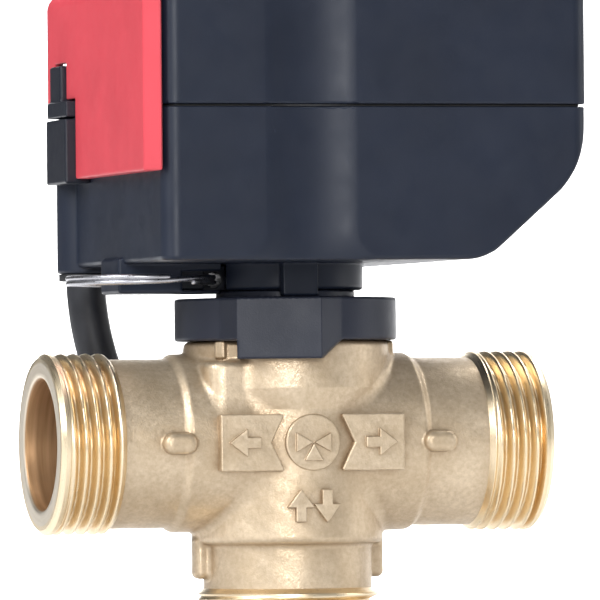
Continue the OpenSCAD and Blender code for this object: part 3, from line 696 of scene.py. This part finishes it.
def build_valve():
    start, low_start = HALF_SPAN - SIDE_THREAD, -AB_FACE - LOW_THREAD
    ends = start + 0.4
    solid("cast_body", cast_body, (-ends, -20.2, -low_start - 0.1), (ends, 20.2, 25.1), ["valve_body"])
    fine = 0.13
    for name, side in (("flow_flag_a", -1), ("flow_flag_b", 1)):
        x = sorted((side * 5.2, side * 17.7))
        solid(name, flow_flag(side), (x[0], -18.8, -5.4), (x[1], -12.8, 5.4), ["valve_body"], fine)
    solid("flow_boss", middle_boss, (-5.4, -18.8, -5.4), (5.4, -13.8, 5.4), ["valve_body"], fine)
    solid("flow_mark_ab", lower_mark, (-4.9, -18.8, -15.0), (4.9, -15.2, -8.2), ["valve_body"], fine)
    threaded_end("port_a_end", -1, HALF_SPAN, start, 17.2, THREAD_X)
    threaded_end("port_b_end", 1, HALF_SPAN, start, 17.2, THREAD_X)
    threaded_end("port_ab_end", "Z", -AB_FACE, low_start, 24.0, THREAD_Z)


# ---------- Collar ----------


COLLAR_TURN = -19


def mounting_collar(p):
    z = p[:, 2]
    top = 26.6
    round_part = rod(p, 2, (0, 0), 20.5, NECK_TOP + 0.05, top, 0.5)
    q = turned(p, COLLAR_TURN)
    corners = [(-11.2, -17), (-7.75, -22), (7.75, -22), (11.2, -17), (11.2, -8), (-11.2, -8)]
    plan = outline(q[:, 0], q[:, 1], corners)
    front = [(-7.75, 15.3), (7.75, 15.3), (11.2, NECK_TOP), (11.2, top), (-11.2, top), (-11.2, NECK_TOP)]
    front.append((-7.75, NECK_TOP))
    box = both(plan, outline(q[:, 0], z, front), 0.4)
    body = join(round_part, box, 0.3)
    body = join(body, rod(p, 2, (0, 0), 12.8, 25, 27.95, 0.3))
    body = join(body, rod(p, 2, (0, 0), 10.0, 26, 32.6, 0.3))
    body = join(body, rod(p, 2, (0, 0), 12.0, 31, 32.6, 0.3))
    body = cut(body, rod(p, 2, (0, 0), NECK_R + 0.15, 0, NECK_TOP + 0.05), 0.2)
    body = cut(body, rod(p, 2, (0, 0), SPIGOT_R + 0.05, 0, 25.15))
    body = cut(body, ring(p, SPIGOT_R + 1, SPIGOT_R - 1, 19.8, 21.1))
    return cut(body, rod(p, 2, (0, 0), 6.8, 20, 40), 0.3)


# ---------- Case ----------

CHANNEL_MID = -4.95
CHANNEL_HALF = 7.75
CHANNEL_DEPTH = 1.2
SLOPE_FOOT = (28.2, CASE_BASE)
SLOPE_TOP = (CASE_RIGHT, 50.2)
COLUMN = (-30.0, 30.7)
SCREW_AT = [(-26, -29.5), (40, -29.5), (40, 29.5), (-19, 29.5)]
POST_AT = [(-8, -29.5), (33, -27), (35, 24), (-6, 29)]
PEG_AT = [(-27, -23), (-27, 20)]
AXLE_AT = [(16.97, 16.97), (21.94, -1.58)]
TONGUES = [(-24, -14), (-6, 4)]
CATCH_PIN = (-35.4, 62.4)
PIN_HOLE = 0.65
GUIDE_HALF = 6.4
GUIDE_FOOT = 27.5
RING_EYE = (-14.5, 30)


def plan_box(p, grow, corner):
    """Upright rounded box of the case, grown by an amount."""
    x, y, _ = p.T
    low = (CASE_LEFT - grow, -HALF_DEPTH - grow)
    high = (CASE_RIGHT + grow, HALF_DEPTH + grow)
    u = between(x, low[0] + corner, high[0] - corner)
    v = between(y, low[1] + corner, high[1] - corner)
    return both(u, v) - corner


def slope_side(p, grow):
    """Space inside the sloping lower right corner."""
    run, rise = SLOPE_TOP[0] - SLOPE_FOOT[0], SLOPE_TOP[1] - SLOPE_FOOT[1]
    size = math.hypot(run, rise)
    return ((p[:, 0] - SLOPE_FOOT[0]) * rise - (p[:, 2] - SLOPE_FOOT[1]) * run) / size - grow


def channel(p):
    """Space in front of the shallow hollow down the case, which flares at its foot."""
    x, y, z = p.T
    flare = 5.5
    drop = np.clip(CASE_BASE + flare - z, 0, flare)
    half = CHANNEL_HALF + flare - np.sqrt(flare**2 - drop**2)
    share = np.clip((x - CHANNEL_MID) / half, -2.5, 2.5) ** 2
    return (y + HALF_DEPTH) - CHANNEL_DEPTH * (1 - share)


def base_housing(p):
    x, _, z = p.T
    profile = both(both(slope_side(p, 0), x - CASE_RIGHT, 6.0), CASE_BASE - z, 2.2)
    outer = both(plan_box(p, 0, 3.0), profile, 0.8)
    outer = both(outer, z - SPLIT_LOW, 0.15)
    inner = both(both(slope_side(p, -WALL), x - CASE_RIGHT + WALL, 4.0), CASE_BASE + WALL - z, 1.0)
    inner = both(plan_box(p, -WALL, 1.5), inner, 0.6)
    shell = cut(outer, inner)
    shell = join(shell, rod(p, 2, COLUMN, 5.25, 31.9, SPLIT_LOW - 0.4, 0.4), 0.3)
    shell = join(shell, rod(p, 2, (0, 0), 14.4, 28, CASE_BASE + 1, 0.7), 0.3)
    guide = block(p, (-33.5, -GUIDE_HALF, GUIDE_FOOT), (-21.3, GUIDE_HALF, CASE_BASE + 1), 0.5)
    shell = join(shell, guide, 0.3)
    for low, high in ((-GUIDE_HALF, -3.3), (3.3, GUIDE_HALF)):
        shell = join(shell, block(p, (-22, low, GUIDE_FOOT), (-13.9, high, 28.1), 0.2))
    for low, high in ((-GUIDE_HALF, -4.8), (4.8, GUIDE_HALF)):
        shell = join(shell, block(p, (-22, low, 31.6), (-13.9, high, CASE_BASE + 1), 0.2))
    shell = join(shell, block(p, (-4.9, -16, 26.8), (1.8, -13.4, CASE_BASE + 1), 0.3), 0.3)
    posts = [(at, 3.4, SPLIT_LOW - 1.3) for at in SCREW_AT] + [(at, 2.6, 52.0) for at in POST_AT]
    posts += [(at, 2.2, 46.5) for at in PEG_AT] + [(at, 1.3, 48.9) for at in PEG_AT]
    posts += [(at, 3, 36.5) for at in AXLE_AT]
    for at, radius, high in posts:
        shell = join(shell, rod(p, 2, at, radius, CASE_BASE + 1, high, 0.2), 0.4)
    shell = both(shell, slope_side(p, 0))
    shell = both(shell, -channel(p), 0.35)
    shell = cut(shell, rod(p, 2, (0, 0), 12.6, 20, CASE_BASE), 0.2)
    shell = cut(shell, block(p, (-16, -5.6, 27), (-12, 5.6, CASE_BASE)))
    shell = cut(shell, block(p, (-32.2, -4.7, 28.1), (-12, 4.7, 32.9)))
    way_in = block(p, (COLUMN[0] - 2, COLUMN[1] - 6, 50), (COLUMN[0] + 6, COLUMN[1] + 1, 70))
    shell = cut(shell, way_in)
    shell = cut(shell, rod(p, 2, (0, 0), 6.05, 30, 40))
    shell = cut(shell, rod(p, 2, COLUMN, 4.5, 30, 44))
    return cut(shell, rod(p, 2, COLUMN, 3.75, 40, 70))


def upper_cover(p):
    z = p[:, 2]
    outer = both(plan_box(p, 0, 3.0), z - CASE_TOP, 1.4)
    outer = both(outer, SPLIT_HIGH - z, 0.15)
    inner = both(plan_box(p, -WALL, 1.5), z - CASE_TOP + WALL, 0.6)
    shell = cut(outer, inner)
    for at in SCREW_AT:
        shell = join(shell, rod(p, 2, at, 4.2, SPLIT_HIGH, CASE_TOP - 0.5, 0.1), 0.4)
    shell = join(shell, rod(p, 1, CATCH_PIN, 1.1, 18, 20.5, 0.2), 0.2)
    shell = join(shell, block(p, (CATCH_PIN[0], 18, 61.7), (CASE_LEFT + 0.5, 20.5, 63.1), 0.2), 0.2)
    shell = both(shell, -channel(p), 0.35)
    for at in SCREW_AT:
        shell = cut(shell, rod(p, 2, at, 1.7, 50, 90))
        shell = cut(shell, rod(p, 2, at, 3.3, CASE_TOP - 6, 90), 0.25)
    for low, high in TONGUES:
        slot = block(p, (CASE_LEFT - 1, low - 0.2, 65.8), (CASE_LEFT + 3, high + 0.2, 67.8))
        shell = cut(shell, slot)
    return cut(shell, rod(p, 1, CATCH_PIN, PIN_HOLE, 17, 22))


RED_FACE = BOX["end_cover"][0][0]
RED_LOW = BOX["end_cover"][0][2]
KEEPER_FACE = BOX["catch_keeper"][0][0]


def end_cover(p):
    x, y, z = p.T
    back = CASE_LEFT - 0.2
    front, rear = -HALF_DEPTH - 0.3, HALF_DEPTH + 0.1
    top = CASE_TOP + 0.4
    chamfer = 3.2
    plan = [(RED_FACE, rear), (RED_FACE, front + chamfer), (back - 0.15, front), (back, front), (back, rear)]
    shape = outline(x, y, plan)
    shape = both(shape, x * 0 + RED_FACE - x, 0.3)
    shape = both(shape, between(z, RED_LOW, top), 0.45)
    slant = (RED_FACE - x + z - top + 2.8) / math.sqrt(2)
    shape = both(shape, slant, 1.0)
    wall = 1.5
    hollow = [(RED_FACE + wall, rear - wall), (RED_FACE + wall, front + chamfer + 0.6)]
    hollow += [(back - 0.6, front + wall), (back + 1, front + wall), (back + 1, rear - wall)]
    room = both(outline(x, y, hollow), between(z, RED_LOW + wall, top - wall))
    shape = cut(shape, both(room, slant + 1.3))
    shape = cut(shape, block(p, (-40, 15.5, 40), (-30, 40, 61.1), 0.6), 0.3)
    shape = cut(shape, block(p, (-40, 15.5, 60), (-30, 30.1, 64.1), 0.3), 0.3)
    shape = cut(shape, block(p, (-40, 21.8, 60), (-30, 30.3, 71), 0.3), 0.3)
    for low, high in TONGUES:
        shape = join(shape, block(p, (RED_FACE + 1, low, 66), (CASE_LEFT + 3, high, 67.6), 0.2))
    return shape


def catch_keeper(p):
    shape = block(p, (KEEPER_FACE, 15.8, 48.4), (CASE_LEFT - 0.01, 29.8, 60.4), 0.4)
    shape = join(shape, block(p, (-35.7, 16.0, 59.0), (CASE_LEFT - 0.2, 29.6, 60.65), 0.1))
    shape = cut(shape, block(p, (KEEPER_FACE + 1.2, 22.6, 56.5), (CASE_LEFT - 0.9, 29, 62)), 0.15)
    shape = cut(shape, block(p, (KEEPER_FACE + 0.5, 22.6, 56.5), (CASE_LEFT - 0.9, 29, 58.6)), 0.15)
    return cut(shape, rod(p, 2, COLUMN, 5.3, 30, 62))


def catch_lever(p):
    hook = KEEPER_FACE + 1.7
    shape = block(p, (KEEPER_FACE + 0.2, 15.9, 60.75), (-33.4, 29.7, 63.7), 0.3)
    shape = join(shape, block(p, (-36.8, 22.2, 61.5), (-34.2, 29.9, 70.5), 0.5), 0.5)
    shape = join(shape, block(p, (hook, 23.2, 57.2), (hook + 1.2, 26.8, 62), 0.15), 0.2)
    shape = join(shape, block(p, (hook - 0.9, 23.2, 57.2), (hook + 1.2, 26.8, 58.2), 0.15), 0.1)
    shape = cut(shape, rod(p, 1, CATCH_PIN, PIN_HOLE, 16.6, 29.0))
    shape = cut(shape, rod(p, 1, CATCH_PIN, 1.25, 17.8, 20.7))
    return cut(shape, block(p, (CATCH_PIN[0], 17.8, 60), (-33, 20.7, 65)))


def latch_slider(p):
    shape = block(p, (-25.8, -4.5, 28.2), (-16.6, 4.5, 32.7), 0.4)
    shape = join(shape, block(p, (-17, -3, 27.5), (-13, 3, 32.8), 0.3), 0.1)
    shape = join(shape, block(p, (-13.5, -3, 28.2), (-12.3, 3, 32.6), 0.2))
    shape = join(shape, block(p, (-12.6, -3, 28.9), (-9, 3, 30.6), 0.2))
    shape = cut(shape, rod(p, 1, RING_EYE, 1.45, -5, 5), 0.15)
    return cut(shape, rod(p, 2, (0, 0), 10.3, 20, 40), 0.1)


def around_node(node, margin=0.3):
    low, high = BOX[node]
    return low - margin, high + margin


def build_case():
    fine = 0.2
    for node, field, step in (
        ("mounting_collar", mounting_collar, STEP),
        ("base_housing", base_housing, STEP * 1.15),
        ("upper_cover", upper_cover, STEP * 1.15),
        ("end_cover", end_cover, STEP * 0.9),
        ("catch_keeper", catch_keeper, fine),
        ("catch_lever", catch_lever, fine),
        ("latch_slider", latch_slider, fine),
    ):
        low, high = around_node(node)
        solid(node + "_skin", field, low, high, [node], step)


def build_ring():
    """Split pull ring: two turns of wire that step over each other."""
    centre = np.array([-27.6, 0.0, 30.0])
    turns, wire, mean_r = 1.94, 0.5, 13.35
    count = 260
    angle = np.linspace(0, turns * 2 * math.pi, count) + math.radians(-60)
    share = np.linspace(0, 1, count)
    swing = np.clip((share - 0.42) / 0.16, 0, 1)
    lift = (swing * swing * (3 - 2 * swing) - 0.5) * 2 * wire * 0.93
    path = np.stack([mean_r * np.cos(angle), mean_r * np.sin(angle), lift], 1) + centre
    points, quads = sweep_points(path, wire, 20)
    settle(add_mesh("pull_ring_wire", points, quads), ["pull_ring"])


def build_spring():
    """Coil behind the slider, made at one length; the slider presses the real coil together as it goes in.
    """
    low, high = BOX["latch_spring"]
    wire = 0.3
    turns = 5.0
    mean_r = (high[1] - low[1]) / 2 - wire
    angle = np.linspace(0, turns * 2 * math.pi, 200)
    along = np.linspace(high[0] - wire, low[0] + wire, len(angle))
    centre_z = (low[2] + high[2]) / 2
    path = np.stack([along, mean_r * np.cos(angle), mean_r * np.sin(angle) + centre_z], 1)
    points, quads = sweep_points(path, wire, 12)
    coil = settle(add_mesh("latch_spring_coil", points, quads), ["latch_spring"])
    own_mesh(coil)


def build_cable():
    """Cable that leaves the column, bends under the case and ends in three stripped cores."""
    bend, sweep, low = 55.0, math.radians(48), 31.9
    column = np.array([COLUMN[0], COLUMN[1], low])
    drop = [(0.0, 0.0, z) for z in np.linspace(23, 1, 10)]
    arc = [(bend * (1 - math.cos(a)), 0.0, -bend * math.sin(a)) for a in np.linspace(0, sweep, 30)]
    ahead = np.array([math.sin(sweep), 0.0, -math.cos(sweep)])
    tail = [tuple(np.array(arc[-1]) + ahead * d) for d in np.linspace(1, 10, 5)]
    path = np.array(drop + arc + tail) + column
    points, quads = sweep_points(path, 3.65, 40)
    settle(add_mesh("cable_sheath", points, quads), ["cable"])
    end = path[-1]
    side = np.array([0.0, 1.0, 0.0])
    up = np.cross(ahead, side)
    colours = {
        "core_brown": (0.16, 0.06, 0.025),
        "core_blue": (0.03, 0.09, 0.32),
        "core_black": (0.012, 0.012, 0.014),
    }
    for k, (name, colour) in enumerate(colours.items()):
        a = math.radians(120 * k)
        offset = (side * math.cos(a) + up * math.sin(a)) * 1.7
        core = [end + offset * (1 + 0.05 * d) + ahead * d for d in np.linspace(-1, 6, 8)]
        points, quads = sweep_points(core, 1.0, 20)
        settle(add_mesh("cable_" + name, points, quads), ["cable"], moulded(name, rgb(*colour), 0.4))


def dress_frame():
    """Materials and softened edges for the CAD nodes that stay in view."""
    for node, piece in frame["nodes"].items():
        if piece.hide_render:
            continue
        piece.data.materials.clear()
        piece.data.materials.append(MATERIALS[SLOTS[node]])
        weld = piece.modifiers.new("weld", "WELD")
        weld.merge_threshold = 1e-6
        edge = piece.modifiers.new("edge", "BEVEL")
        edge.width = 0.12 * MM
        edge.segments = 2
        edge.limit_method = "ANGLE"
        edge.angle_limit = math.radians(35)
        edge.harden_normals = True


# ---------- Stage ----------


ROOM_LIGHT = 0.28


def area_light(name, at, aim, size, power, colour=(1, 1, 1)):
    lamp = bpy.data.lights.new(name, "AREA")
    lamp.shape = "RECTANGLE"
    lamp.size, lamp.size_y = size
    lamp.energy = power
    lamp.color = colour
    place = bpy.data.objects.new(name, lamp)
    place.location = at
    place.rotation_mode = "QUATERNION"
    place.rotation_quaternion = (Vector(aim) - Vector(at)).to_track_quat("-Z", "Y")
    bpy.context.scene.collection.objects.link(place)


def clear_from_behind(n):
    """Lets a view from behind look through the back of a stage sheet."""
    geometry = n.tree.nodes.new("ShaderNodeNewGeometry")
    clear = n.tree.nodes.new("ShaderNodeBsdfTransparent")
    either = n.tree.nodes.new("ShaderNodeMixShader")
    output = next(node for node in n.tree.nodes if node.type == "OUTPUT_MATERIAL")
    n.tree.links.new(geometry.outputs["Backfacing"], either.inputs[0])
    n.tree.links.new(n.shader.outputs[0], either.inputs[1])
    n.tree.links.new(clear.outputs[0], either.inputs[2])
    n.tree.links.new(either.outputs[0], output.inputs["Surface"])


def dark_flag(at, width, height):
    """Black board beside the backdrop, out of view, that keeps the left faces dark."""
    x, y = at
    half = width / 2
    mesh = bpy.data.meshes.new("flag")
    corners = [(x - half, y, 0.01), (x + half, y, 0.01), (x + half, y, height), (x - half, y, height)]
    mesh.from_pydata(corners, [], [(0, 1, 2, 3)])
    board = bpy.data.objects.new("flag", mesh)
    bpy.context.scene.collection.objects.link(board)
    n = Nodes("flag_cloth")
    cloth = n.mix(n.noise(40.0), rgb(0.02, 0.02, 0.02), rgb(0.03, 0.03, 0.03))
    mesh.materials.append(n.done(cloth, 0.0, 0.95))
    clear_from_behind(n)


def build_stage():
    """White sweep of floor and backdrop, soft boxes and a bright room."""
    width, front, back, radius, height = 4.0, -2.6, 1.6, 0.9, 3.0
    white = (1, 1, 1, 1)
    profile = [(front, 0.0)] + [
        (back - radius + radius * math.sin(a), radius - radius * math.cos(a))
        for a in np.linspace(0, math.pi / 2, 24)
    ]
    profile.append((back, height))
    points = [(x, y, z) for y, z in profile for x in (-width, width)]
    mesh = bpy.data.meshes.new("sweep")
    strips = [(2 * k, 2 * k + 1, 2 * k + 3, 2 * k + 2) for k in range(len(profile) - 1)]
    mesh.from_pydata(points, [], strips)
    for face in mesh.polygons:
        face.use_smooth = True
    sweep = bpy.data.objects.new("sweep", mesh)
    bpy.context.scene.collection.objects.link(sweep)
    n = Nodes("sweep_paper")
    paper = n.mix(n.noise(300.0, 2.0), rgb(0.68, 0.68, 0.69), rgb(0.72, 0.72, 0.72))
    mesh.materials.append(n.done(paper, 0.0, 0.9))
    clear_from_behind(n)
    dark_flag((-0.75, 0.85), 1.5, 1.6)
    world = bpy.data.worlds.new("room")
    bpy.context.scene.world = world
    world.use_nodes = True
    room = world.node_tree.nodes["Background"]
    room.inputs[0].default_value = white
    room.inputs[1].default_value = ROOM_LIGHT
    middle = (0, 0, AXIS_Z)
    area_light("key_left", (-0.95, -0.45, 0.70), middle, (0.5, 0.8), 13, (0.96, 0.98, 1.0))
    area_light("front", (-0.50, -1.95, 0.42), middle, (0.7, 0.45), 17)
    area_light("side_right", (1.1, -0.2, 0.45), middle, (0.5, 0.9), 3)
    area_light("top", (0.05, -0.10, 1.3), middle, (0.7, 0.5), 9)
    area_light("backdrop", (0.5, 0.45, 1.0), (0.45, 1.6, 0.2), (1.2, 0.5), 45)


def build_camera():
    """The view from a little left of the front, level with the ports."""
    turn = math.radians(16.1)
    distance = 1.571
    back = Vector((-math.sin(turn), -math.cos(turn), 0.0))
    right = Vector((math.cos(turn), -math.sin(turn), 0.0))
    up = Vector((0, 0, 1))
    lens, sensor, width = 510.0, 36.0, 600.0
    per_px = distance * sensor / lens / width
    camera = bpy.data.objects.new("camera", bpy.data.cameras.new("camera"))
    bpy.context.scene.collection.objects.link(camera)
    camera.data.lens, camera.data.sensor_width = lens, sensor
    camera.data.clip_start, camera.data.clip_end = 0.1, 20
    place = Vector((0, 0, AXIS_Z)) + back * distance + up * 0.0022
    shift_right, shift_up, roll_degrees = 15.0, 142.2, -0.55
    aim = Vector((0, 0, AXIS_Z)) + right * (shift_right * per_px) + up * (shift_up * per_px)
    camera.location = place
    camera.rotation_mode = "QUATERNION"
    look = (aim - place).to_track_quat("-Z", "Y")
    roll = Matrix.Rotation(math.radians(roll_degrees), 4, "Z").to_quaternion()
    camera.rotation_quaternion = look @ roll
    bpy.context.scene.camera = camera
    bpy.context.scene.view_settings.view_transform = "Standard"


build_valve()
build_case()
build_ring()
build_spring()
build_cable()
dress_frame()
build_stage()
build_camera()
